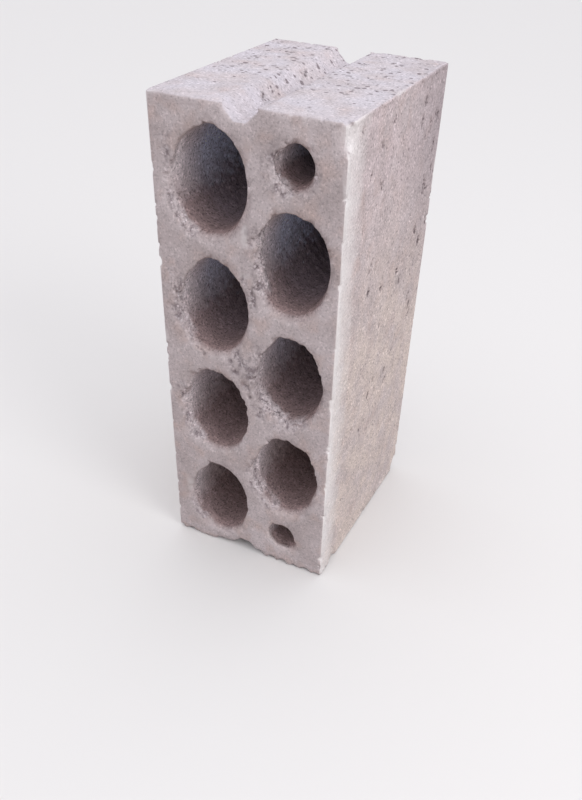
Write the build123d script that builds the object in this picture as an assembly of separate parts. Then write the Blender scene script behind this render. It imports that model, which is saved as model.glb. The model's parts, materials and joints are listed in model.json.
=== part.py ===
from build123d import *
from math import cos, radians, sin
import os

# A hollow concrete block that stands on one end, with its cores facing the front.
# Millimetres. X runs across the two rows of cores, Y along the cores and Z along the block.
# The origin is at the middle of the end that the block stands on.

# The block as it leaves the mould
block_width = 150.0
block_depth = 190.0
block_length = 390.0
arris_radius = 3.0

# Cores: two rows that are staggered by half a pitch, so that each web stays narrow
core_pitch = 94.0
left_row_x = -30.0
right_row_x = 35.0
back_wall = 25.0

# Large cores, taller than they are wide. The mould's cores taper, so that the block strips off them
left_core_count = 4
right_core_count = 3
large_mouth_width = 64.0
large_mouth_height = 80.0
large_taper = 2.0
large_end_rounding = 12.0

# Small round cores that fill the right row's two ends
small_from_middle = 161.5
small_mouth = 34.0
small_taper = 1.0
small_end_rounding = 6.0

# The mouths flare where the cores meet the plate that they stand on
flare_width = 4.0
flare_depth = 9.0

# Mortar groove down the middle of both ends
groove_x = -3.5
groove_width = 31.0
groove_floor = 9.0
groove_depth = 10.0
groove_lip_radius = 3.0
groove_floor_radius = 4.0

# Bands that make up the rounding at a core's end
end_steps = 3

# Working length by which cutting shapes run past a face
overrun = 10.0

front_y = -block_depth / 2
middle_z = block_length / 2
core_depth = block_depth - back_wall


def block_body():
    """The full block, with every arris rounded."""
    body = Box(block_width, block_depth, block_length, align=(Align.CENTER, Align.CENTER, Align.MIN))
    return fillet(body.edges(), arris_radius)


def groove(end_z, into):
    """One mortar groove, cut into an end; into is -1 from the top end and 1 from the bottom end."""
    half_top = groove_width / 2
    half_floor = groove_floor / 2
    slope = (half_top - half_floor) / groove_depth
    half_out = half_top + slope * overrun
    floor_z = end_z + into * groove_depth
    out_z = end_z - into * overrun
    section = Polyline(
        (-half_out, 0, out_z),
        (-half_floor, 0, floor_z),
        (half_floor, 0, floor_z),
        (half_out, 0, out_z),
        close=True,
    )
    cutter = extrude(make_face(section), block_depth / 2 + overrun, dir=(0, 1, 0), both=True)
    floor_edges = cutter.edges().filter_by(Axis.Y).group_by(Axis.Z)[-1 if into > 0 else 0]
    return Pos(groove_x, 0, 0) * fillet(floor_edges, groove_floor_radius)


def core_section(depth, half_width, half_height):
    """An ellipse across a core, at a depth behind the front face."""
    plane = Plane(origin=(0, front_y + depth, 0), x_dir=(1, 0, 0), z_dir=(0, 1, 0))
    return plane * Ellipse(half_width, half_height)


def core(mouth_width, mouth_height, taper, end_rounding):
    """A blind core about its own axis: a flared mouth, a slow taper and a rounded end."""
    neck_width = mouth_width / 2 - flare_width
    neck_height = mouth_height / 2 - flare_width
    # The flare carries on at its own slope in front of the face, so that its mouth is cut clean
    past = flare_width / flare_depth * overrun
    sections = [
        core_section(-overrun, mouth_width / 2 + past, mouth_height / 2 + past),
        core_section(flare_depth, neck_width, neck_height),
    ]
    for step in range(end_steps + 1):
        angle = radians(90 * step / end_steps)
        inset = taper + end_rounding * (1 - cos(angle))
        depth = core_depth - end_rounding * (1 - sin(angle))
        sections.append(core_section(depth, neck_width - inset, neck_height - inset))
    return loft(sections, ruled=True)


def core_places(row_x, count, middle):
    """Centres of a row of like cores, evenly spaced about a middle height."""
    first = middle - core_pitch * (count - 1) / 2
    return [(row_x, first + core_pitch * place) for place in range(count)]


def concrete_block():
    """The block with its two grooves and its cores."""
    block = block_body()
    for end_z, into in ((0, 1), (block_length, -1)):
        block -= groove(end_z, into)
    lips = block.edges().filter_by(Axis.Y).filter_by(
        lambda edge: abs(abs(edge.center().X - groove_x) - groove_width / 2) < 0.01
    )
    block = fillet(lips, groove_lip_radius)

    large = core(large_mouth_width, large_mouth_height, large_taper, large_end_rounding)
    small = core(small_mouth, small_mouth, small_taper, small_end_rounding)
    for x, z in core_places(left_row_x, left_core_count, middle_z):
        block -= Pos(x, 0, z) * large
    for x, z in core_places(right_row_x, right_core_count, middle_z):
        block -= Pos(x, 0, z) * large
    for side in (-1, 1):
        block -= Pos(right_row_x, 0, middle_z + side * small_from_middle) * small
    return block


os.makedirs("parts", exist_ok=True)
block = concrete_block()
export_step(block, "parts/concrete_block.step")
print("volume in litres", round(block.volume / 1e6, 3))
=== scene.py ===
from functools import partial
import json
import math
import random
import bmesh
import bpy
from mathutils import Matrix, Vector

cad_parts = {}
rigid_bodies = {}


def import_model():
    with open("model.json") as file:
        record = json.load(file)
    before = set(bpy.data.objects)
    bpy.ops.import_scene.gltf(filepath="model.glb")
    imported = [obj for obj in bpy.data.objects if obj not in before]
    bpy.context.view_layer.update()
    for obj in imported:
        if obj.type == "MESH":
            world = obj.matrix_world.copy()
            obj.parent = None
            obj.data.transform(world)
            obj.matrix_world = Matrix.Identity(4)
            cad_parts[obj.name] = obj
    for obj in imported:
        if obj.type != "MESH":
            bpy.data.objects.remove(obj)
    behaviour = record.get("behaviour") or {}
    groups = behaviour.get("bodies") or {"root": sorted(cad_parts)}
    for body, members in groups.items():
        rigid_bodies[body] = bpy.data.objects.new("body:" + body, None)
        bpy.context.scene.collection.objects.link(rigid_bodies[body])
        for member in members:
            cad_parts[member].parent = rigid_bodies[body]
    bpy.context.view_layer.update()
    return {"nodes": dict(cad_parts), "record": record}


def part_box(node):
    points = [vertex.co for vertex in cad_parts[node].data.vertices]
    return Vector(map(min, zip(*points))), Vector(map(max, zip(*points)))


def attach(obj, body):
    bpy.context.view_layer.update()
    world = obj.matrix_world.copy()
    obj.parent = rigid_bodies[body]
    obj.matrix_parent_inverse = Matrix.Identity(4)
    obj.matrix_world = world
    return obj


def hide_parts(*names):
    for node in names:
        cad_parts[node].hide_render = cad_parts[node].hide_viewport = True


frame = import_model()

# A hollow concrete block with blind cores, pressed in a mould and standing on one end. Sizes are
# written in millimetres and used in metres. X runs across the two rows of cores, -Y out of their
# mouths and Z up the block.
mm = 0.001
low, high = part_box("concrete_block")
middleZ = (low.z + high.z) / 2

# Kinds of node that the trees below use most; those of two parts are a kind and its setting
rangeNode = "ShaderNodeMapRange"
noiseNode = "ShaderNodeTexNoise"
cellNode = "ShaderNodeTexVoronoi"
splitNode = "ShaderNodeSeparateXYZ"
attributeNode = ("GeometryNodeInputNamedAttribute", {"data_type": "FLOAT"})
storeNode = ("GeometryNodeStoreNamedAttribute", {"data_type": "FLOAT"})
randomNode = ("FunctionNodeRandomValue", {"data_type": "FLOAT"})
smoothRange = ("ShaderNodeMapRange", {"interpolation_type": "SMOOTHSTEP"})
mixColour = ("ShaderNodeMix", {"data_type": "RGBA"})
add, subtract, multiply, multiplyAdd, divide, power, maximum, minimum, compare, lessThan, sign, absolute = (
    ("ShaderNodeMath", {"operation": name}) for name in (
        "ADD", "SUBTRACT", "MULTIPLY", "MULTIPLY_ADD", "DIVIDE", "POWER", "MAXIMUM", "MINIMUM", "COMPARE",
        "LESS_THAN", "SIGN", "ABSOLUTE"))
addVectors, takeVector, multiplyVectors, multiplyAddVectors, scaleVector, dotProduct, absoluteVector = (
    ("ShaderNodeVectorMath", {"operation": name}) for name in (
        "ADD", "SUBTRACT", "MULTIPLY", "MULTIPLY_ADD", "SCALE", "DOT_PRODUCT", "ABSOLUTE"))


def linear(hexCode):
    # an sRGB hex value as the linear colour that the shaders want
    channels = [int(hexCode[i:i + 2], 16) / 255 for i in (1, 3, 5)]
    return tuple(c / 12.92 if c <= 0.04045 else ((c + 0.055) / 1.055) ** 2.4 for c in channels) + (1.0,)


def addNode(tree, kind, inputs=(), **settings):
    # a node with its settings, its inputs linked to sockets or nodes, or set to values
    kind, setting = kind if isinstance(kind, tuple) else (kind, {})
    node = tree.nodes.new(kind)
    for name, value in (setting | settings).items():
        setattr(node, name, value)
    for key, value in inputs.items() if isinstance(inputs, dict) else enumerate(inputs):
        if isinstance(value, bpy.types.Node):
            value = next(out for out in value.outputs if out.enabled)
        if isinstance(value, bpy.types.NodeSocket):
            tree.links.new(value, node.inputs[key])
        else:
            node.inputs[key].default_value = value
    return node


def addObject(name, mesh):
    thing = bpy.data.objects.new(name, mesh)
    bpy.context.scene.collection.objects.link(thing)
    return thing


# Camera, floor and light
view = {
    "place": (270.8, -580.7, 532.1),  # mm
    "aim": (75.0, -162.6, 137.9),     # mm
    "roll": 2.0,                      # degrees
    "lens": 36.52,                    # for a 36 mm tall frame
    "shiftUp": 0.131,
    "floorSize": 24.0,                # m
    "floor": "#e4e2e0",               # as the camera sees it
    "floorGlow": "#857873",           # as it lights the block
    "surround": "#e9e8e7",
    "fill": 1.08,
    "fillColour": "#fafaff",
    "keyPower": 15.0,                 # W
    "keySize": 1.2,                   # m
    "keyPlace": (1.93, -0.72, 1.45),  # m
    "keyColour": "#ffffff",
}


def placeCamera():
    data = bpy.data.cameras.new("camera")
    data.lens = view["lens"]
    data.shift_y = view["shiftUp"]
    data.dof.use_dof = False
    camera = addObject("camera", data)
    camera.location = Vector(view["place"]) * mm
    sight = Vector(view["aim"]) * mm - camera.location
    level = sight.to_track_quat("-Z", "Y").to_matrix()
    camera.rotation_euler = (level @ Matrix.Rotation(math.radians(view["roll"]), 3, "Z")).to_euler()
    bpy.context.scene.camera = camera


def seenRays(put):
    # 1 for the rays that show a thing straight, in gloss or through glass, and 0 for its light
    rays = put("ShaderNodeLightPath").outputs
    straight = put(maximum, [rays["Is Camera Ray"], rays["Is Glossy Ray"]])
    return put(maximum, [straight, rays["Is Transmission Ray"]])


def newMaterial(name, roughness, specular):
    # a material, what adds nodes to it, and its shader
    material = bpy.data.materials.new(name)
    material.use_nodes = True
    shader = material.node_tree.nodes["Principled BSDF"]
    shader.inputs["Roughness"].default_value = roughness
    shader.inputs["Specular IOR Level"].default_value = specular
    return material, partial(addNode, material.node_tree), shader


def paintedFloor():
    # matt studio floor, plain and pale, that throws back as little light as bare ground
    material, put, shader = newMaterial("matt_floor_paint", roughness=0.9, specular=0.5)
    colour = put(mixColour, {0: seenRays(put), 6: linear(view["floorGlow"]), 7: linear(view["floor"])})
    shader.id_data.links.new(colour.outputs[2], shader.inputs["Base Color"])
    return material


def setStage():
    half = view["floorSize"] / 2
    mesh = bpy.data.meshes.new("floor")
    corners = [(-half, -half, 0), (half, -half, 0), (half, half, 0), (-half, half, 0)]
    mesh.from_pydata(corners, [], [(0, 1, 2, 3)])
    floor = addObject("floor", mesh)
    mesh.materials.append(paintedFloor())

    world = bpy.data.worlds.new("surround")
    world.use_nodes = True
    bpy.context.scene.world = world
    world.node_tree.nodes.clear()
    put = partial(addNode, world.node_tree)
    lit = put("ShaderNodeBackground", {"Color": linear(view["fillColour"]), "Strength": view["fill"]})
    shown = put("ShaderNodeBackground", {"Color": linear(view["surround"]), "Strength": 1.0})
    mixed = put("ShaderNodeMixShader", [seenRays(put), lit, shown])
    put("ShaderNodeOutputWorld", {"Surface": mixed})

    lamp = bpy.data.lights.new("key", "AREA")
    lamp.shape = "DISK"
    lamp.size = view["keySize"]
    lamp.energy = view["keyPower"]
    lamp.color = linear(view["keyColour"])[:3]
    key = addObject("key", lamp)
    key.location = view["keyPlace"]
    toBlock = Vector((0, 0, middleZ)) - key.location
    key.rotation_euler = toBlock.to_track_quat("-Z", "Y").to_euler()
    bpy.context.scene.view_settings.view_transform = "Standard"


# The cast block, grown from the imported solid: a field of distances to that solid, worn back by
# fields of grain, pits, crumbled mouths and chipped arrises, and then skinned
cast = {
    "voxel": 1.3,  # mm, the cell that the surface is grown in
    "outside": -5.0,       # the field beyond those cells
    "triangles": 190000,   # kept after the flattest ones are joined
    "skin": 0.15,          # mm, the least depth of the wear everywhere
    "bend": 5.0,           # mm, how far the edges of crumbled places wander
    "bendSize": 8.0,       # mm
    "bendShare": 0.35,     # of that for the edges of mouths, chips and holes
    "rough": (15.0, 85.0, 0.35, 1.0),  # mm in from the front, where roughness starts and is full
    "layerShift": 3.7,     # between the noises of two layers of relief
    "pitDepth": 1.2,       # of a pit's radius
    "crumble": 1.7,        # mm, how deep a crumbled mouth has lost its skin
    "tall": (1.0, 1.0, 0.6),  # clumps are taller than they are wide
    "rimWear": 0.1,        # mm, rounding of a mouth's rim
    "rimTeeth": 1.7,       # mm, small breaks along a mouth
    "rimReach": 4.5,       # mm
    "rimFade": 2,          # points over which a change of a mouth's width fades in
    "standing": (3.2, 1.8),  # mm of mix left at a mouth where its teeth are gone, and where they are whole
    "crisp": 2.5,          # mm, how much less the arrises are rounded than the solid's
    "arrisWear": 4.0,      # mm, in the nicks
    "arrisReach": 4.0,     # mm, how far from an arris its wear reaches
    "footWear": 1.15,      # times as much at the end that it stands on
    "flawCore": 0.35,      # of its reach, within which a flaw is at its deepest
    "holeSwell": 1.1,      # times the radius of the air holes, for their edges fade
    "ragged": 5.0,         # mm, how far the edges of holes wander
    "raggedSize": 3.2,     # mm
    "speckFaces": 200,     # looser bits with fewer faces are swept off
    "seed": 4,
    # Noises: mm across, detail, the values at which they start and are full, and their shares there
    "swarms": (55.0, 1.0, 0.35, 0.65, 0.45, 1.0),   # of pits
    "patches": (13.0, 2.0, 0.36, 0.52, 0.15, 1.0),  # of skin that is left in crumbled places
    "clumps": (4.8, 2.0, 0.38, 0.62, 0.0, 1.5),     # left where the skin has gone
    "teeth": (4.6, 2.0, 0.47, 0.57),
    "nicks": (6.0, 2.0, 0.57, 0.67),
}
# Layers of unevenness: mm across, stretch along X, Y and Z, the part of the noise that is cut back,
# depth in mm, and the faces that have it
reliefLayers = [
    (45.0, (1, 1, 1), (0.38, 0.70), 0.25, "all"),     # the mould's slow unevenness
    (7.0, (1, 1, 1), (0.44, 0.75), 0.25, "all"),      # sandy unevenness
    (3.5, (1, 1, 4), (0.50, 0.72), 0.60, "sides"),    # marks that the mould drew out
    (6.0, (1, 1, 2), (0.60, 0.80), 0.80, "sides"),    # places where the mix was dry
    (3.4, (1.5, 1, 1), (0.50, 0.74), 1.00, "ends"),   # open texture of both ends
    (13.0, (1, 1, 1), (0.50, 0.80), 0.60, "ends"),
    (3.2, (1, 1, 1), (0.42, 0.74), 1.20, "cores"),    # grit that shows on the walls of the cores
    (9.0, (1, 1, 1), (0.48, 0.76), 0.90, "cores"),
]
# Air holes left against the mould: mm apart, largest radius in mm, stretch, how rare the large ones
# are, and the faces that have them
pitLayers = [
    (6.0, 1.2, (1, 1, 0.7), 3.0, "sides"),
    (13.0, 2.2, (1, 1, 0.5), 4.0, "sides"),
    (3.8, 1.2, (0.8, 1, 1), 1.6, "ends"),
    (9.0, 2.0, (0.7, 1, 1), 3.0, "ends"),
    (7.0, 1.6, (1, 1, 1), 1.8, "cores"),
]
# Crumbled stretches of the mouths: first and last angle in degrees from +X towards +Z, how deep
# inside the mouth their middle line lies, and how far from it the crumbling reaches, in mm
crumbledMouths = {
    "left_core_4": [(150, 250, 1, 6)],
    "left_core_3": [(150, 225, 3, 8)],
    "left_core_2": [(165, 232, 3, 8)],
    "left_core_1": [(205, 235, 2, 5)],
    "right_core_3": [(135, 215, 6, 12)],
    "right_core_2": [(135, 215, 4, 11), (222, 292, 5, 9)],
    "right_core_1": [(165, 245, 3, 10)],
    "upper_small_core": [(142, 262, 2, 9), (288, 345, 0, 4)],
}
# The same on the webs between them: start and end in mm across and up the front face from its left
# foot corner, then how far from that line the crumbling reaches and how deep it goes
crumbledWebs = [
    ((66, 206), (82, 190), 7, 1.5), ((82, 190), (87, 156), 8, 1.7), ((57, 200), (64, 192), 6, 1.2),
    ((10, 264), (18, 250), 5, 1.2), ((98, 150), (120, 153), 4, 1.2), ((74, 268), (80, 252), 6, 1.3),
    ((80, 120), (82, 92), 5, 1.3), ((12, 362), (13, 344), 4, 1.3), ((14, 168), (15, 140), 4, 1.2),
]
mouth = {"half": (32, 40), "smallHalf": (17, 17), "flare": 4, "flareDepth": 9}  # mm across and up
groove = {"x": -3.5, "halfWidth": 15.5}  # mm
# Where a mouth is wider or narrower than it was moulded: the same four, then how many mm have broken
# off, or less than nothing where the mix was left standing
rims = {
    "left_core_4": [(-62, -10, 0, 5, 1.8), (58, 94, 0, 4.5, -0.8), (94, 172, 0, 8, -4.5),
                    (264, 290, 7, 8, -1.2)],
    "left_core_3": [(-75, -42, 0, 5, 1.6), (112, 172, 0, 9, -6.5)],
    "left_core_2": [(-40, 132, 0, 6, -1.8), (150, 162, 3, 7, -5.0)],
    "left_core_1": [(-36, 106, 0, 6, -2.5), (104, 178, 0, 10, -6.8), (236, 262, 7, 7, -1.5)],
    "right_core_3": [(-85, -38, 0, 5, 1.8), (60, 118, 0, 6, -2.4), (114, 160, 0, 8, -4.5),
                     (158, 214, 5, 11, -4.5)],
    "right_core_2": [(-80, -46, 0, 5, 2.0), (5, 48, 0, 6, -1.5), (60, 120, 0, 6, -2.2),
                     (114, 190, 1, 11, -7.5)],
    "right_core_1": [(-75, -46, 0, 5, 2.0), (-24, -14, 3, 6, -2.0), (10, 45, 0, 6, -1.5),
                     (60, 122, 0, 6, -2.0), (114, 172, 0, 8, -4.5)],
    "upper_small_core": [(106, 232, 0, 8, -5.0)],
    "lower_small_core": [(-10, 130, 0, 9, -6.0), (130, 290, 0, 7, -3.2)],
}
# Chips and dents: start and end in mm across and up the front face, or across, in and up where they
# lie elsewhere, then radius and depth in mm
chips = [
    ((0, 390), (5, 390), 5, 1.2), ((150, 394), (150, 380), 11, 4.0), ((150, 352), (150, 346), 5, 0.8),
    ((0, 0), (3, 0), 5, 5.0), ((10, 0), (14, 0), 4, 4.5), ((44, 0), (58, 0), 5, 4.6),
    ((85, 0), (88, 0), 6, 5.5), ((98, 0), (102, 0), 5, 4.6), ((109, 0), (112, 0), 5, 5.8),
    ((122, 0), (124, 0), 4, 4.6), ((133, 0), (136, 0), 4, 4.6), ((144, 0), (146, 0), 4, 3.6),
    ((150, 24, 0), (150, 30, 0), 5, 4.0), ((150, 186, 0), (150, 190, 8), 9, 5.0),
    ((150, 82, 390), (150, 92, 390), 5, 1.6), ((150, 190, 300), (150, 190, 322), 5, 1.6),
    ((0, 262), (0, 274), 5, 0.8), ((0, 205), (0, 212), 5, 1.0), ((0, 150), (0, 158), 5, 1.2),
    ((0, 96), (0, 100), 4, 1.2), ((0, 60), (0, 66), 4, 1.2), ((72, 274), (76, 275), 4, 1.2),
    ((52, 108), (57, 110), 3.5, 1.2), ((24, 40), (34, 24), 12, 3.6), ((16, 60), (19, 40), 7, 1.2),
    ((74, 300), (75, 310), 5, 0.8),
]
# Slits and holes in the front face and in the top, given in the same way
slits = [
    ((77, 171), (76, 182), 2.6, 3.5), ((90, 160), (92, 166), 2.5, 2.5), ((81, 186), (84, 178), 2.5, 2.5),
    ((12, 330), (17, 322), 2.5, 3.0), ((15, 321), (14, 314), 2.4, 2.5), ((27, 302), (29, 298), 2.5, 2.5),
    ((31, 204), (37, 200), 2.5, 3.0), ((11, 150), (19, 152), 2.6, 3.0), ((15, 137), (17, 121), 2.6, 3.0),
    ((83, 77), (85, 71), 2.5, 2.5), ((86, 90), (90, 78), 2.4, 2.5), ((124, 346), (125, 344), 2.5, 2.5),
    ((91, 352), (92, 357), 2.5, 2.5), ((14, 236), (19, 234), 2.5, 2.5), ((97, 256), (103, 252), 2.5, 2.5),
    ((93, 64, 390), (95, 62, 390), 2.8, 3.0), ((16, 100, 390), (18, 98, 390), 2.6, 2.5),
    ((17, 89, 390), (18, 88, 390), 2.4, 2.0), ((31, 156, 390), (33, 153, 390), 2.6, 2.5),
    ((33, 103, 390), (34, 102, 390), 2.4, 2.5), ((42, 174, 390), (45, 172, 390), 2.8, 2.5),
    ((109, 112, 390), (110, 111, 390), 2.4, 2.5), ((124, 56, 390), (126, 55, 390), 2.4, 2.0),
    ((118, 94, 390), (120, 93, 390), 2.4, 2.0), ((134, 80, 390), (135, 79, 390), 2.4, 2.0),
    ((84, 23, 390), (84, 21, 390), 2.4, 1.5), ((112, 20, 390), (113, 19, 390), 2.2, 1.5),
    ((13, 47, 390), (14, 46, 390), 2.4, 1.5), ((58, 118, 384), (59, 116, 384), 2.6, 2.0),
    ((62, 54, 385), (65, 48, 383), 2.4, 2.5), ((60, 124, 386), (63, 119, 384), 2.6, 2.5),
    ((120, 162, 390), (123, 160, 390), 2.6, 2.5), ((98, 150, 390), (99, 148, 390), 2.4, 2.0),
]
# Air holes that show on the right face: in and up from its front foot corner, how tall, radius and
# depth, all in mm
airHoles = [
    (67, 332, 4, 2.6, 4), (62, 336, 3, 2.2, 3), (44, 345, 1, 2.2, 3), (81, 371, 2, 2.4, 3),
    (59, 320, 1, 2.0, 3), (38, 309, 2, 2.2, 3), (164, 347, 7, 2.8, 5), (167, 302, 6, 3.4, 6),
    (172, 296, 5, 2.6, 4), (146, 371, 4, 2.8, 4), (158, 268, 6, 2.6, 5), (61, 277, 3, 2.2, 3),
    (58, 271, 1, 2.4, 4), (71, 270, 4, 2.4, 4), (59, 255, 3, 2.8, 5), (132, 236, 5, 3.2, 5),
    (122, 246, 5, 2.4, 4), (94, 211, 1, 2.6, 3), (88, 246, 2, 2.6, 3), (161, 207, 6, 2.6, 4),
    (166, 197, 5, 2.4, 4), (168, 187, 2, 2.6, 3), (91, 159, 2, 3.0, 4), (81, 150, 2, 2.6, 3),
    (119, 156, 2, 2.8, 4), (122, 142, 3, 2.4, 3), (134, 171, 4, 2.4, 3), (98, 144, 1, 2.2, 3),
    (31, 130, 1, 2.4, 2), (48, 133, 1, 2.6, 3), (42, 117, 1, 2.2, 2), (68, 122, 1, 2.4, 3),
    (172, 255, 6, 2.8, 4), (182, 312, 4, 3.0, 4), (143, 357, 4, 2.8, 4), (22, 380, 1, 2.2, 3),
    (180, 352, 3, 2.8, 4), (178, 332, 8, 2.2, 4), (184, 268, 6, 2.2, 4), (180, 236, 5, 2.4, 4),
    (62, 362, 2, 2.2, 2), (176, 358, 4, 2.4, 3), (140, 285, 3, 2.2, 3), (78, 72, 3, 2.4, 2),
    (38, 64, 2, 2.2, 2), (112, 178, 3, 2.2, 3), (176, 276, 2, 2.6, 3),
]


def corePlaces():
    # centres of the cores across and up, from the openings that the record states
    places = {}
    for opening in frame["record"]["physics"]["openings"]:
        name = opening["name"].replace("_middle", "")
        corner, far = opening["box_m"]
        if name.endswith("core") or name[-1].isdigit():
            places[name] = ((corner[0] + far[0]) / 2, (corner[2] + far[2]) / 2)
    return places


def strokes(name, lines, fades=0):
    # a mesh of loose lines, each a list of points with its reach and depth in mm; the depth fades in
    # over a few points at both ends
    mesh = bpy.data.meshes.new(name)
    points, edges, reaches, depths = [], [], [], []
    for line, reach, depth in lines:
        edges += [(len(points) + i, len(points) + i + 1) for i in range(len(line) - 1)]
        points += line
        reaches += [reach * mm] * len(line)
        depths += [depth * mm * min(1.0, (i + 1) / (fades + 1), (len(line) - i) / (fades + 1))
                   for i in range(len(line))]
    mesh.from_pydata(points, edges, [])
    mesh.attributes.new("reach", "FLOAT", "POINT").data.foreach_set("value", reaches)
    mesh.attributes.new("depth", "FLOAT", "POINT").data.foreach_set("value", depths)
    return addObject(name, mesh)


def mouthLine(name, first, last, inside=0.0):
    # part of a mouth's outline on the wall of its core, at a depth in mm inside the front face
    x, z = corePlaces()[name]
    half = mouth["smallHalf"] if "small" in name else mouth["half"]
    narrower = mouth["flare"] * min(1.0, inside / mouth["flareDepth"])
    across, up = ((length - narrower) * mm for length in half)
    steps = max(3, round((last - first) / 5))
    angles = [math.radians(first + (last - first) * i / steps) for i in range(steps + 1)]
    return [(x + across * math.cos(a), low.y + inside * mm, z + up * math.sin(a)) for a in angles]


def arrisLines():
    # the twelve arrises, those of each end broken where a groove crosses them
    reach, depth = cast["arrisReach"], cast["arrisWear"]
    lines = []
    for x in (low.x, high.x):
        for y in (low.y, high.y):
            lines.append(([(x, y, z) for z in (low.z, middleZ, high.z)], reach, depth))
    lips = [(groove["x"] + side * groove["halfWidth"]) * mm for side in (-1, 1)]
    for z, wear in ((low.z, cast["footWear"]), (high.z, 1.0)):
        for y in (low.y, high.y):
            for start, end in ((low.x, lips[0]), (lips[1], high.x)):
                lines.append(([(start, y, z), (end, y, z)], reach, depth * wear))
        for x in (low.x, high.x):
            lines.append(([(x, low.y, z), (x, high.y, z)], reach, depth * wear))
    return lines


def shortLines(flaws):
    # each flaw as a short line that carries its radius and depth
    lines = []
    for *ends, radius, depth in flaws:
        start, end = (Vector(point if len(point) == 3 else (point[0], 0, point[1])) for point in ends)
        run = [tuple(low + start.lerp(end, share) * mm) for share in (0, 0.5, 1)]
        lines.append((run, radius, depth))
    return lines


def distanceField(put, solid, place):
    # signed distance from a place to the solid, positive outside
    captured = put("GeometryNodeCaptureAttribute", domain="FACE")
    captured.capture_items.new("VECTOR", "facing")
    captured.id_data.links.new(solid, captured.inputs[0])
    normal = put("GeometryNodeInputNormal").outputs[0]
    captured.id_data.links.new(normal, captured.inputs[1])
    nearest = put("GeometryNodeProximity", [captured.outputs[0]], target_element="FACES")
    facing = put("GeometryNodeSampleNearestSurface",
                 {"Mesh": captured.outputs[0], "Value": captured.outputs[1]}, data_type="FLOAT_VECTOR")
    away = put(takeVector, [place, nearest.outputs["Position"]])
    outward = put(dotProduct, [away, facing]).outputs["Value"]
    side = put(sign, [outward])
    return put(multiply, [side, nearest.outputs["Distance"]])


def faceMasks(put, place):
    # 1 on the faces of each kind and 0 elsewhere; each outer face has its axis, its place on it and
    # how many mm into the block it counts
    axes = put(splitNode, [place]).outputs
    edges = {"top": (axes["Z"], high.z, -12.5), "foot": (axes["Z"], low.z, 12.5),
             "right": (axes["X"], high.x, -8.0), "left": (axes["X"], low.x, 8.0),
             "back": (axes["Y"], high.y, -8.0)}
    blend = 2.0
    masks = {}
    for name, (axis, edge, deep) in edges.items():
        full = deep - math.copysign(blend, deep)
        masks[name] = put(smoothRange, {"Value": axis, 1: edge + deep * mm, 2: edge + full * mm})
    # the cores fill what lies inside all the other faces, past the first few mm
    cores = put(smoothRange, {"Value": axes["Y"], 1: low.y + 3 * mm, 2: low.y + 12 * mm})
    for name in edges:
        cores = put(subtract, [cores, masks[name]], use_clamp=True)
    ends = put(maximum, [masks["top"], masks["foot"]])
    sides = put(maximum, [masks["right"], masks["left"]])
    sides = put(maximum, [sides, masks["back"]])
    return {"cores": cores, "ends": ends, "sides": sides}


def wornNear(put, place, lines):
    # how near a place is to a helper's lines, from 0 at their reach to 1 along them, and their depth
    near = put("GeometryNodeProximity", {0: lines, "Sample Position": place}, target_element="EDGES")
    index = put("GeometryNodeSampleNearest", [lines, place], domain="POINT")
    held = {}
    for name in ("reach", "depth"):
        number = put(attributeNode, {"Name": name})
        held[name] = put("GeometryNodeSampleIndex", [lines, number, index],
                         data_type="FLOAT", domain="POINT")
    share = put(divide, [near.outputs["Distance"], held["reach"]])
    closeness = put(smoothRange, {"Value": share, 1: 1.0, 2: cast["flawCore"]})
    return closeness, held["depth"]


def wander(put, place, size, far):
    # a shift in all directions that a noise gives, its size and reach in mm
    noise = put(noiseNode, {"Vector": place, "Scale": 1 / (size * mm), "Detail": 1.0})
    shift = put(takeVector, [noise.outputs["Color"], (0.5, 0.5, 0.5)])
    return put(scaleVector, {0: shift, "Scale": far * mm})


def noiseShare(put, place, size, detail, start, full, least=0.0, most=1.0):
    # the share that a noise gives at a place, its size in mm
    noise = put(noiseNode, {"Vector": place, "Scale": 1 / (size * mm), "Detail": detail})
    return put(rangeNode, {"Value": noise, 1: start, 2: full, 3: least, 4: most})


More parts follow.
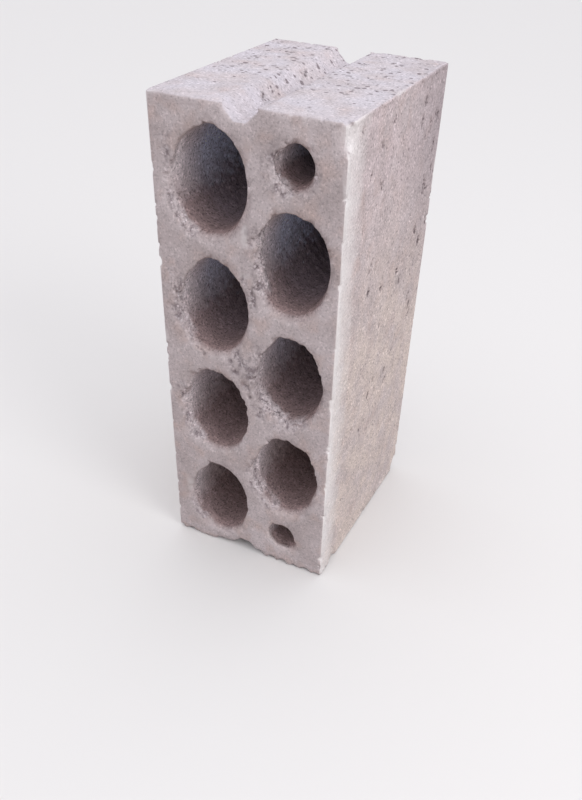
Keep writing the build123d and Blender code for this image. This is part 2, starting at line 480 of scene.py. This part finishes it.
def wearField(put, place, helpers):
    # how far the surface has worn or broken back from the moulded shape, in metres
    masks = faceMasks(put, place)
    bend = wander(put, place, cast["bendSize"], cast["bend"] * 2)
    bent = put(addVectors, [place, bend]).outputs[0]
    # the outer faces are rougher away from the front
    start, full, least, most = cast["rough"]
    rough = put(splitNode, [place]).outputs["Y"]
    rough = put(rangeNode,
                {"Value": rough, 1: low.y + start * mm, 2: low.y + full * mm, 3: least, 4: most})
    total = cast["skin"] * mm

    for number, (size, stretch, (start, full), depth, faces) in enumerate(reliefLayers):
        scale = Vector((1 / (size * along * mm) for along in stretch))
        shift = (number * cast["layerShift"] + cast["seed"],) * 3
        moved = put(multiplyAddVectors, [place, scale, shift])
        noise = put(noiseNode, {"Vector": moved, "Scale": 1.0, "Detail": 1.5})
        layer = put(rangeNode, {"Value": noise, 1: start, 2: full, 3: 0.0, 4: depth * mm})
        if faces in masks:
            layer = put(multiply, [layer, masks[faces]])
            layer = put(multiply, [layer, rough])
        total = put(add, [layer, total])

    # pits come in swarms, with quiet places between them
    holes = 0.0
    swarm = put(multiply, [noiseShare(put, place, *cast["swarms"]), rough])
    for spacing, radius, stretch, rarity, faces in pitLayers:
        scale = Vector((along / (spacing * mm) for along in stretch))
        moved = put(multiplyAddVectors, [bent, scale, (cast["seed"],) * 3])
        cells = put(cellNode, {"Vector": moved, "Scale": 1.0})
        chance = put(splitNode, [cells.outputs["Color"]])
        size = put(power, [chance.outputs["X"], rarity])
        size = put(multiply, [size, swarm])
        # a round-bottomed hollow, deepest at the middle and steep at its edge
        away = put(multiply, [cells.outputs["Distance"], spacing / radius])
        left = put(subtract, [size, away])
        deepest = radius * cast["pitDepth"] * mm
        hollow = put(smoothRange, {"Value": left, 1: 0.0, 2: 0.5, 3: 0.0, 4: deepest})
        holes = put(multiplyAdd, [hollow, masks[faces], holes])

    # crumbled mouths have lost their skin, and uneven clumps are left
    crumbled, depth = wornNear(put, bent, helpers["crumbled"])
    crumbled = put(multiply, [crumbled, noiseShare(put, place, *cast["patches"])])
    taller = put(multiplyVectors, [place, cast["tall"]])
    broken = put(multiply, [depth, noiseShare(put, taller, *cast["clumps"])])
    total = put(multiplyAdd, [broken, crumbled, total])

    # every mouth's rim is rounded a little, with small breaks along it, where it hasn't moved
    slight = put(scaleVector, {0: bend, "Scale": cast["bendShare"]})
    slight = put(addVectors, [place, slight]).outputs[0]
    moved, depth = wornNear(put, slight, helpers["rims"])
    moved = put(multiply, [moved, depth])
    total = put(add, [moved, total])
    gone, whole = cast["standing"]
    kept = put(rangeNode, {"Value": moved, 1: -gone * mm, 2: -whole * mm})
    rim, depth = wornNear(put, place, helpers["mouths"])
    rim = put(multiply, [rim, kept])
    teeth = noiseShare(put, place, *cast["teeth"], least=cast["rimWear"] * mm, most=depth)
    total = put(multiplyAdd, [rim, teeth, total])

    # crisp arrises with nicks in them, then chips and the air holes that are listed
    arris, depth = wornNear(put, place, helpers["arrises"])
    nicks = noiseShare(put, place, *cast["nicks"])
    worn = put(multiplyAdd, [nicks, depth, -cast["crisp"] * mm])
    total = put(multiplyAdd, [arris, worn, total])
    dent, depth = wornNear(put, slight, helpers["chips"])
    total = put(multiplyAdd, [dent, depth, total])
    # the holes have ragged edges
    ragged = wander(put, place, cast["raggedSize"], cast["ragged"])
    ragged = put(addVectors, [slight, ragged]).outputs[0]
    pit, depth = wornNear(put, ragged, helpers["slits"])
    holes = put(multiplyAdd, [pit, depth, holes])
    total = put(add, [holes, total])
    sunk = put(divide, [holes, mm])
    rubbed = put(multiply, [arris, nicks])
    rubbed = put(maximum, [rubbed, dent])
    return total, {"crumbled": crumbled, "rubbed": rubbed, "sunk": sunk}


def castTree(helperNames):
    # skins the places where the distance to the solid plus the wear comes to nothing
    tree = bpy.data.node_groups.new("cast_concrete", "GeometryNodeTree")
    put = partial(addNode, tree)
    tree.interface.new_socket("Solid", in_out="INPUT", socket_type="NodeSocketGeometry")
    for name in helperNames:
        tree.interface.new_socket(name, in_out="INPUT", socket_type="NodeSocketObject")
    tree.interface.new_socket("Material", in_out="INPUT", socket_type="NodeSocketMaterial")
    tree.interface.new_socket("Cast", in_out="OUTPUT", socket_type="NodeSocketGeometry")
    given = put("NodeGroupInput").outputs
    helpers = {}
    for name in helperNames:
        info = put("GeometryNodeObjectInfo", [given[name]], transform_space="RELATIVE")
        helpers[name] = info.outputs["Geometry"]

    place = put("GeometryNodeInputPosition").outputs[0]
    distance = distanceField(put, given["Solid"], place)
    wear, worn = wearField(put, place, helpers)
    density = put(add, [distance, wear])
    # nothing that is added stands proud of the outer faces
    half = (high - low) / 2
    away = put(takeVector, [place, low + half])
    away = put(absoluteVector, [away])
    away = put(takeVector, [away, half - Vector((cast["skin"] * mm,) * 3)])
    for axis in put(splitNode, [away]).outputs:
        density = put(maximum, [density, axis])
    density = put(multiply, [density, -1 / mm])

    cell = cast["voxel"] * mm
    margin = 2 * cell
    start = Vector([edge - margin for edge in low])
    counts = [math.ceil(length / cell) for length in high - start + Vector((margin,) * 3)]
    volume = put("GeometryNodeVolumeCube",
                 {"Density": density, "Background": cast["outside"],
                  "Min": start, "Max": start + Vector(counts) * cast["voxel"] * mm,
                  "Resolution X": counts[0], "Resolution Y": counts[1], "Resolution Z": counts[2]})
    skin = put("GeometryNodeVolumeToMesh", {"Volume": volume, "Threshold": 0.0})
    # each point keeps how worn it is: crumbled and rubbed as shares, and sunk in mm down its hole
    for name, share in worn.items():
        skin = put(storeNode, {0: skin, "Name": name, "Value": share}, domain="POINT")
    smooth = put("GeometryNodeSetShadeSmooth", [skin])
    dressed = put("GeometryNodeSetMaterial", {0: smooth, "Material": given["Material"]})
    real = put("GeometryNodeRealizeInstances", [dressed])
    put("NodeGroupOutput", [real])
    return tree


def dropLoose(work):
    # takes off the points that no face uses
    bmesh.ops.delete(work, geom=[point for point in work.verts if not point.link_faces],
                     context="VERTS")


def solidCopy():
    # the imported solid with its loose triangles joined
    mesh = frame["nodes"]["concrete_block"].data.copy()
    mesh.materials.clear()
    work = bmesh.new()
    work.from_mesh(mesh)
    bmesh.ops.remove_doubles(work, verts=work.verts, dist=1e-6)
    work.to_mesh(mesh)
    work.free()
    return mesh


def grow(name, mesh, tree, values):
    # the plain mesh that a Geometry Nodes tree makes from a mesh
    blank = addObject(name, mesh)
    modifier = blank.modifiers.new(name, "NODES")
    modifier.node_group = tree
    for item in tree.interface.items_tree:
        if item.in_out == "INPUT" and item.name in values:
            modifier[item.identifier] = values[item.name]
    grown = bpy.data.meshes.new_from_object(blank.evaluated_get(bpy.context.evaluated_depsgraph_get()))
    bpy.data.objects.remove(blank)
    return grown


def castBlock(material):
    # the block's skin, grown from the solid and thinned
    right = (high.x - low.x) / mm
    holes = []
    for inward, up, tall, radius, depth in airHoles:
        start, end = (right, inward, up - tall / 2), (right, inward, up + tall / 2)
        holes.append((start, end, radius * cast["holeSwell"], depth))
    lines = {
        "crumbled": shortLines(crumbledWebs) + [
            (mouthLine(name, *stretch), reach, cast["crumble"])
            for name, stretches in crumbledMouths.items() for *stretch, reach in stretches],
        "mouths": [(mouthLine(name, 0, 360), cast["rimReach"], cast["rimTeeth"]) for name in corePlaces()],
        "arrises": arrisLines(),
        "chips": shortLines(chips),
        "slits": shortLines(slits + holes),
        "rims": [(mouthLine(name, *stretch), reach, broken)
                 for name, stretches in rims.items() for *stretch, reach, broken in stretches],
    }
    helpers = {name: strokes(name, held, cast["rimFade"] if name == "rims" else 0)
               for name, held in lines.items()}
    grown = grow("cast", solidCopy(), castTree(list(helpers)), {**helpers, "Material": material})
    for helper in helpers.values():
        bpy.data.objects.remove(helper)
    print("surface grown:", len(grown.polygons), "faces")

    full = addObject("full", grown)
    triangles = sum(len(face.vertices) - 2 for face in grown.polygons)
    joined = full.modifiers.new("join", "DECIMATE")
    joined.ratio = min(1.0, cast["triangles"] / triangles)
    joined.use_collapse_triangulate = True
    mesh = bpy.data.meshes.new_from_object(full.evaluated_get(bpy.context.evaluated_depsgraph_get()))
    bpy.data.objects.remove(full)
    mesh.name = "cast_block"
    print("cast block:", len(mesh.polygons), "triangles kept")
    return addObject("cast_block", mesh)


def sweepSpecks(mesh):
    # takes off the few specks that hang loose in the skin or in front of it
    work = bmesh.new()
    work.from_mesh(mesh)
    seen = [False] * len(work.faces)
    specks = []
    for first in work.faces:
        island = [] if seen[first.index] else [first]
        seen[first.index] = True
        for face in island:
            for near in (other for edge in face.edges for other in edge.link_faces):
                if not seen[near.index]:
                    seen[near.index] = True
                    island.append(near)
        if len(island) < cast["speckFaces"]:
            specks += island
    bmesh.ops.delete(work, geom=specks, context="FACES")
    dropLoose(work)
    work.to_mesh(mesh)
    work.free()
    print("specks swept off:", len(specks), "faces")


# Stones that lie bare where the skin has gone: small angular ones, set in what the block has left
stones = {
    "kinds": 6,
    "corners": 14,
    "apart": 3.8,         # mm, the least between two stones
    "perArea": 0.2,       # to a square mm, before that
    "size": (0.9, 2.3),   # mm, radius
    "smallest": 0.6,      # mm, smaller ones are left out
    "bare": (0.35, 0.8),  # how crumbled a place is where they start and are full
    "room": 0.85,         # of the way to the front face, their largest radius
    "wide": (0.7, 0.85),  # to their length
    "thick": (0.6, 0.8),
    "out": 0.05,          # of the radius, how far a stone's middle stands out of what is left
    "seed": 11,
}


def stoneKinds():
    # convex stones of unit radius, longer than they are wide
    chance = random.Random(stones["seed"])
    kinds = bpy.data.collections.new("stoneKinds")
    for number in range(stones["kinds"]):
        work = bmesh.new()
        for _ in range(stones["corners"]):
            point = Vector((chance.gauss(0, 1), chance.gauss(0, 1), chance.gauss(0, 1))).normalized()
            wide, thick = chance.uniform(*stones["wide"]), chance.uniform(*stones["thick"])
            work.verts.new((point.x, point.y * wide, point.z * thick))
        bmesh.ops.convex_hull(work, input=work.verts)
        dropLoose(work)
        bmesh.ops.recalc_face_normals(work, faces=work.faces)
        mesh = bpy.data.meshes.new("stone" + str(number))
        work.to_mesh(mesh)
        work.free()
        kinds.objects.link(bpy.data.objects.new("stone" + str(number), mesh))
    return kinds


def stoneTree():
    # sets stones on the worn places of a mesh
    tree = bpy.data.node_groups.new("bare_stones", "GeometryNodeTree")
    put = partial(addNode, tree)
    sockets = {"Block": "Geometry", "Kinds": "Collection", "Apart": "Float", "Density": "Float",
               "Least size": "Float", "Most size": "Float", "Material": "Material"}
    for name, kind in sockets.items():
        tree.interface.new_socket(name, in_out="INPUT", socket_type="NodeSocket" + kind)
    tree.interface.new_socket("Stones", in_out="OUTPUT", socket_type="NodeSocketGeometry")
    given = put("NodeGroupInput").outputs
    crumbled = put(attributeNode, {"Name": "crumbled"})
    bare = put(rangeNode, {"Value": crumbled, 1: stones["bare"][0], 2: stones["bare"][1]})
    spots = put("GeometryNodeDistributePointsOnFaces",
                {"Mesh": given["Block"], "Distance Min": given["Apart"], "Density Max": given["Density"],
                 "Density Factor": bare, "Seed": stones["seed"]}, distribute_method="POISSON")
    size = put(randomNode, {2: given["Least size"], 3: given["Most size"], "Seed": stones["seed"] + 1})
    # no stone stands proud of the front face, so those that lie near it are small or left out
    inside = put(splitNode, [put("GeometryNodeInputPosition")]).outputs["Y"]
    inside = put(add, [inside, -low.y])
    room = put(multiply, [inside, stones["room"]])
    size = put(minimum, [size.outputs[1], room])
    sized = put(storeNode, {0: spots.outputs["Points"], "Name": "size", "Value": size}, domain="POINT")
    size = put(attributeNode, {"Name": "size"}).outputs[0]
    small = put(lessThan, [size, stones["smallest"] * mm])
    chosen = put("GeometryNodeDeleteGeometry", {0: sized, 1: small}, domain="POINT")
    middle = put(multiply, [size, stones["out"]])
    out = put(scaleVector, {0: spots.outputs["Normal"], "Scale": middle})
    lifted = put("GeometryNodeSetPosition", {"Geometry": chosen, "Offset": out})
    turn = put("FunctionNodeRandomValue", {1: (math.tau,) * 3, "Seed": stones["seed"] + 2},
               data_type="FLOAT_VECTOR")
    kinds = put("GeometryNodeCollectionInfo",
                {"Collection": given["Kinds"], "Separate Children": True, "Reset Children": True})
    pick = put("FunctionNodeRandomValue",
               {4: 0, 5: stones["kinds"] - 1, "Seed": stones["seed"] + 3}, data_type="INT")
    shade = put(randomNode, {2: 0.0, 3: 1.0, "Seed": stones["seed"] + 4})
    placed = put("GeometryNodeInstanceOnPoints",
                 {"Points": lifted, "Instance": kinds.outputs[0], "Pick Instance": True,
                  "Instance Index": pick.outputs[2], "Rotation": turn.outputs[0], "Scale": size})
    shaded = put(storeNode, {0: placed, "Name": "shade", "Value": shade.outputs[1]}, domain="INSTANCE")
    real = put("GeometryNodeRealizeInstances", [shaded])
    dressed = put("GeometryNodeSetMaterial", {0: real, "Material": given["Material"]})
    put("NodeGroupOutput", [dressed])
    return tree


def bareStones(block, material):
    kinds = stoneKinds()
    values = {"Kinds": kinds, "Apart": stones["apart"] * mm, "Density": stones["perArea"] / mm ** 2,
              "Least size": stones["size"][0] * mm, "Most size": stones["size"][1] * mm,
              "Material": material}
    mesh = grow("set stones", block.data.copy(), stoneTree(), values)
    for stone in list(kinds.objects):
        bpy.data.objects.remove(stone)
    bpy.data.collections.remove(kinds)
    mesh.name = "bare_stones"
    print("bare stones:", len(mesh.polygons), "triangles")
    return addObject("bare_stones", mesh)


# The finish of the block, its sizes in mm
concrete = {
    "dull": "#beb2b2",  # under all that follows
    "pale": "#cec3c4", "warm": "#c8b2ab",  # slow patches
    "chalk": "#d3ced6", "chalkSize": 26.0,  # painted cool light in patches on both ends
    "stripe": "#f0eceb", "stripeWide": 20.0,  # the side is paler next to the front
    "clay": "#dccec7",  # warmer below
    "rose": "#d8c9cb", "roseFrom": 0.18, "roseFull": 0.34,  # and pinker above, m up
    "old": "#b0a5a9", "oldFrom": 110, "oldFull": 185,  # but greyer at the back, mm inward
    "drift": 26.0, "driftSize": 14.0,  # how far these wander
    "wall": "#e0d2d2", "wallFrom": 1, "wallFull": 11,  # mm inside the mouths, painted light on the shaded walls of the cores
    "clean": "#e6edff", "cleanFrom": 14, "cleanFull": 45,  # painted cool light further in,
    "highFrom": 0.10, "highFull": 0.28,  # in the upper cores, m up
    "lit": "#ece4ea", "litTo": 45, "litFull": 15,  # painted light on their left walls, paler yet
    # dark reddish painted shade on what faces up inside the cores, from and full at mm inward
    "soil": "#846c6a", "soilFrom": 0.2, "soilFull": 6.0,
    "rubbed": "#e2dcdc", "broken": "#cfc4c6",
    "fleck": "#ddd5d8", "fleckSize": 2.0,
    # painted shade: the colour that darkens the pores and the cracks round the crumbs
    "poreSize": 3.4, "poreRadius": 1.25, "poreRarity": 2.2, "pore": "#75696d",
    # the cracks round the crumbs, and the painted shade in the hollows between the clumps
    "crackSize": 4.6, "crackWidth": 0.9, "crackBend": 3.0, "hollow": "#85797c",
    "deep": "#5c5053", "deepFrom": 0.4, "deepFull": 2.4,  # mm down a hole, over which painted shade darkens it
    "bumpSize": 1.2, "bump": 0.6, "bumpHeight": 0.7,
}
# Slow patches of the whole block: colour, mm across, the noise's values where they start and are
# full, and their strength
slowPatches = [("pale", 34.0, 0.35, 0.65, 1.0), ("warm", 17.0, 0.50, 0.75, 0.65)]
patchShift = 0.31  # m, between their noises
# Sand grains and blotches: mm across, the same two values, and how bright they are to what lies under
grains = [(1.7, 0.52, 0.66, 0.62), (2.21, 0.55, 0.68, 1.38), (7.0, 0.46, 0.62, 0.90)]
# How many mm into the block each kind of outer face counts
lies = {"end": 11.5, "side": 5.0, "back": 5.0, "front": 3.5}


def layCoats(put, colour, coats):
    # lays coats over a colour, each a name in concrete and the shares that make its strength
    for name, share, *others in coats:
        for other in others:
            share = put(multiply, [share, other], use_clamp=True)
        coat = linear(concrete[name])
        colour = put(mixColour, {0: share, 6: colour, 7: coat}).outputs[2]
    return colour


def whereItLies(put, place):
    # a place's axes and facing, whether it is on an end, a side or the front or in a core, and mm inward
    axes = put(splitNode, [place]).outputs
    facing = put(splitNode, [put("ShaderNodeNewGeometry").outputs["Normal"]]).outputs
    notEnd = put(compare, [axes["Z"], middleZ, middleZ - lies["end"] * mm])
    notSide = put(compare, [axes["X"], 0.0, high.x - lies["side"] * mm])
    notBack = put(lessThan, [axes["Y"], high.y - lies["back"] * mm])
    within = put(multiply, [notEnd, notSide])
    within = put(multiply, [within, notBack])
    inward = put(add, [axes["Y"], -low.y])
    inward = put(divide, [inward, mm])
    on = []
    for axis, notThere in (("Z", notEnd), ("X", notSide)):
        turned = put(absolute, [facing[axis]])
        turned = put(rangeNode, {"Value": turned, 1: 0.4, 2: 0.7})
        on.append(put(subtract, [turned, notThere], use_clamp=True))
    front = put(lessThan, [inward, lies["front"]])
    shown = put(rangeNode, {"Value": facing["Y"], 1: -0.4, 2: -0.7})
    front = put(multiply, [front, shown])
    return axes, facing, on[0], on[1], front, within, inward


def sideCoats(put, place, axes, inward, onSide, mottleNoise):
    # the sides are paler next to the front, warm further back and greyer up at the back
    drift = put(noiseNode, {"Vector": place, "Scale": 1 / (concrete["driftSize"] * mm), "Detail": 2.0})
    drift = put(multiplyAdd, [drift, concrete["drift"], inward])
    above = put(rangeNode, {"Value": axes["Z"], 1: concrete["roseFrom"], 2: concrete["roseFull"]})
    below = put(subtract, [1.0, above])
    behind = put(rangeNode, {"Value": drift, 1: concrete["oldFrom"], 2: concrete["oldFull"]})
    stripe = concrete["stripeWide"]
    nearFront = put(rangeNode, {"Value": drift, 1: stripe + concrete["drift"], 2: stripe - 6.0})
    mottled = put(rangeNode, {"Value": mottleNoise, 1: 0.35, 2: 0.65, 3: 0.4, 4: 1.4})
    return nearFront, [("rose", 0.6, above, mottled, onSide), ("clay", 0.8, below, mottled, onSide),
                       ("old", 0.7, behind, above, onSide), ("stripe", 0.95, nearFront, onSide)]


def coreCoats(put, axes, facing, inward, within, crumbled):
    # the walls of the cores get painted light, paler near the mouths and paler yet on the left walls,
    # painted cool light deeper in the upper cores, and a dark reddish painted shade on what faces up
    # further in
    depths = {name: put(rangeNode,
                        {"Value": inward, 1: concrete[name + "From"], 2: concrete[name + "Full"]})
              for name in ("wall", "clean", "soil")}
    # painted light on the walls of the cores, where the grains are also stronger
    wallLightAndGrit = put(multiply, [depths["wall"], within])
    higher = put(rangeNode, {"Value": axes["Z"], 1: concrete["highFrom"], 2: concrete["highFull"]})
    lit = put(rangeNode, {"Value": facing["X"], 1: 0.3, 2: 0.8, 4: 0.6})
    near = put(rangeNode, {"Value": inward, 1: concrete["litTo"], 2: concrete["litFull"]})
    upward = put(rangeNode, {"Value": facing["Z"], 1: -0.2, 2: 0.5, 4: 0.86})
    spared = put(multiplyAdd, [crumbled, -0.7, 1.0])
    return wallLightAndGrit, [("wall", wallLightAndGrit), ("clean", depths["clean"], higher, within),
                    ("lit", lit, near, wallLightAndGrit), ("soil", depths["soil"], upward, within, spared)]


def wornCoats(put, place, crumbled, rubbed):
    # crumbled and rubbed places are pale, with bright flecks where they crumbled
    broken = put(rangeNode, {"Value": crumbled, 1: 0.1, 2: 0.9, 4: 0.5})
    bare = put(rangeNode, {"Value": rubbed, 1: 0.3, 2: 1.0, 4: 0.6})
    # the same clumps that the surface was grown with, with painted shade in their hollows
    taller = put(multiplyVectors, [place, cast["tall"]])
    hollow = noiseShare(put, taller, *cast["clumps"][:2], start=0.48, full=0.62, most=0.85)
    flecks = noiseShare(put, place, concrete["fleckSize"], 1.0, start=0.55, full=0.68, most=0.5)
    return [("broken", broken), ("rubbed", bare), ("hollow", hollow, crumbled), ("fleck", flecks, crumbled)]


def castConcrete():
    # dry-pressed grey concrete: a dull sandy skin that is paler where it has broken, with painted shade in
    # its pores, cracks and holes and painted light and shade in its cores
    material, put, shader = newMaterial("pressed_grey_concrete", roughness=0.94, specular=0.2)
    place = put("ShaderNodeTexCoord").outputs["Object"]
    sunk, crumbled, rubbed = (put("ShaderNodeAttribute", attribute_name=name).outputs["Fac"]
                              for name in ("sunk", "crumbled", "rubbed"))
    axes, facing, onEnd, onSide, front, within, inward = whereItLies(put, place)

    coats = []
    for number, (name, size, start, full, strength) in enumerate(slowPatches):
        moved = put(addVectors, [place, (number * patchShift,) * 3])
        coats.append((name, noiseShare(put, moved, size, 2.0, start, full, most=strength)))
    # painted cool light on both ends, in patches
    mottleNoise = put(noiseNode, {"Vector": place, "Scale": 1 / (concrete["chalkSize"] * mm), "Detail": 2.0})
    endLightShare = put(rangeNode, {"Value": mottleNoise, 1: 0.35, 2: 0.65, 3: 0.25, 4: 0.75})
    coats.append(("chalk", endLightShare, onEnd))
    nearFront, more = sideCoats(put, place, axes, inward, onSide, mottleNoise)
    coats += more
    wallLightAndGrit, more = coreCoats(put, axes, facing, inward, within, crumbled)
    coats += more + wornCoats(put, place, crumbled, rubbed)
    colour = layCoats(put, linear(concrete["dull"]), coats)

    # sand grains, darker and lighter than what lies under them, and fainter on the front and sides
    calm = put(multiplyAdd, [front, -0.45, 1.0])
    plainer = put(multiply, [nearFront, onSide])
    plainer = put(maximum, [plainer, rubbed])
    fine = calm
    for share, change in ((onEnd, -0.35), (plainer, -0.6), (wallLightAndGrit, 0.25), (onSide, -0.1)):
        fine = put(multiplyAdd, [share, change, fine])
    for size, start, full, bright in grains:
        moved = put(addVectors, [place, (size,) * 3])
        grain = noiseShare(put, moved, size, 2.0, start, full, most=bright - 1)
        grain = put(multiplyAdd, [grain, fine, 1.0])
        colour = put(scaleVector, {0: colour, "Scale": grain}).outputs[0]

    # pores: round ones everywhere, most of them on the ends, and cracks round the crumbs, all darkened as
    # painted shade
    lengthen = put("ShaderNodeCombineXYZ",
                   {"X": put(multiplyAdd, [onEnd, -0.25, 1.0]), "Y": 1.0,
                    "Z": put(multiplyAdd, [onSide, -0.5, 1.0])})
    drawn = put(multiplyVectors, [place, lengthen])
    cells = put(cellNode, {"Vector": drawn, "Scale": 1 / (concrete["poreSize"] * mm)})
    chance = put(splitNode, [cells.outputs["Color"]])
    size = put(power, [chance.outputs["X"], concrete["poreRarity"]])
    back = put(rangeNode, {"Value": inward, 1: cast["rough"][0], 2: cast["rough"][1], 3: 0.3})
    more = put(multiplyAdd, [onEnd, 1.0, 0.6])
    more = put(multiplyAdd, [onSide, 0.1, more])
    for share in (back, calm, size, concrete["poreRadius"] / concrete["poreSize"]):
        more = put(multiply, [more, share])
    left = put(subtract, [more, cells.outputs["Distance"]])
    pores = put(rangeNode, {"Value": left, 1: 0.0, 2: 0.12, 4: 0.75})
    drift = put(noiseNode, {"Vector": place, "Scale": 1 / (concrete["crackBend"] * mm), "Detail": 1.0})
    bend = put(scaleVector, {0: drift.outputs["Color"], "Scale": concrete["crackBend"] * mm})
    bent = put(multiplyAddVectors, [place, cast["tall"], bend])
    crumbs = put(cellNode, {"Vector": bent, "Scale": 1 / (concrete["crackSize"] * mm)},
                 feature="DISTANCE_TO_EDGE")
    width = concrete["crackWidth"] / concrete["crackSize"]
    cracks = put(rangeNode, {"Value": crumbs, 1: width, 2: width * 0.3, 4: 0.4})
    agape = put(rangeNode, {"Value": drift, 1: 0.50, 2: 0.62})
    for share in (agape, crumbled):
        cracks = put(multiply, [cracks, share])
    gaps = put(maximum, [pores, cracks])
    # painted shade down the holes, darker the deeper they go
    down = put(rangeNode, {"Value": sunk, 1: concrete["deepFrom"], 2: concrete["deepFull"]})
    colour = layCoats(put, colour, [("pore", gaps), ("deep", down, calm)])
    shader.id_data.links.new(colour, shader.inputs["Base Color"])

    sand = put(noiseNode, {"Vector": place, "Scale": 1 / (concrete["bumpSize"] * mm), "Detail": 3.0})
    height = put(multiplyAdd, [gaps, -1.5, sand])
    bump = put("ShaderNodeBump", {"Strength": concrete["bump"],
                                  "Distance": concrete["bumpHeight"] * mm, "Height": height})
    shader.id_data.links.new(bump.outputs[0], shader.inputs["Normal"])
    return material


# Crushed stone, each one a little lighter or darker than the next
crushed = {"dark": "#b6aaac", "pale": "#d6cccf", "dust": "#bfb2b1", "dustSize": 1.3, "bump": 0.3}


def bareStone():
    # crushed stone with cement dust on it, matt
    material, put, shader = newMaterial("crushed_stone", roughness=0.88, specular=0.3)
    place = put("ShaderNodeTexCoord").outputs["Object"]
    shade = put("ShaderNodeAttribute", attribute_name="shade").outputs["Fac"]
    colour = put(mixColour, {0: shade, 6: linear(crushed["dark"]), 7: linear(crushed["pale"])}).outputs[2]
    dust = put(noiseNode, {"Vector": place, "Scale": 1 / (crushed["dustSize"] * mm), "Detail": 2.0})
    share = put(rangeNode, {"Value": dust, 1: 0.45, 2: 0.7, 4: 0.5})
    colour = put(mixColour, {0: share, 6: colour, 7: linear(crushed["dust"])}).outputs[2]
    shader.id_data.links.new(colour, shader.inputs["Base Color"])
    bump = put("ShaderNodeBump",
               {"Strength": crushed["bump"], "Distance": crushed["bump"] * mm, "Height": dust})
    shader.id_data.links.new(bump.outputs[0], shader.inputs["Normal"])
    return material


placeCamera()
setStage()
print("stage set")
block = castBlock(castConcrete())
loose = bareStones(block, bareStone())
sweepSpecks(block.data)
for piece in (block, loose):
    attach(piece, "root")
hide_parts("concrete_block")
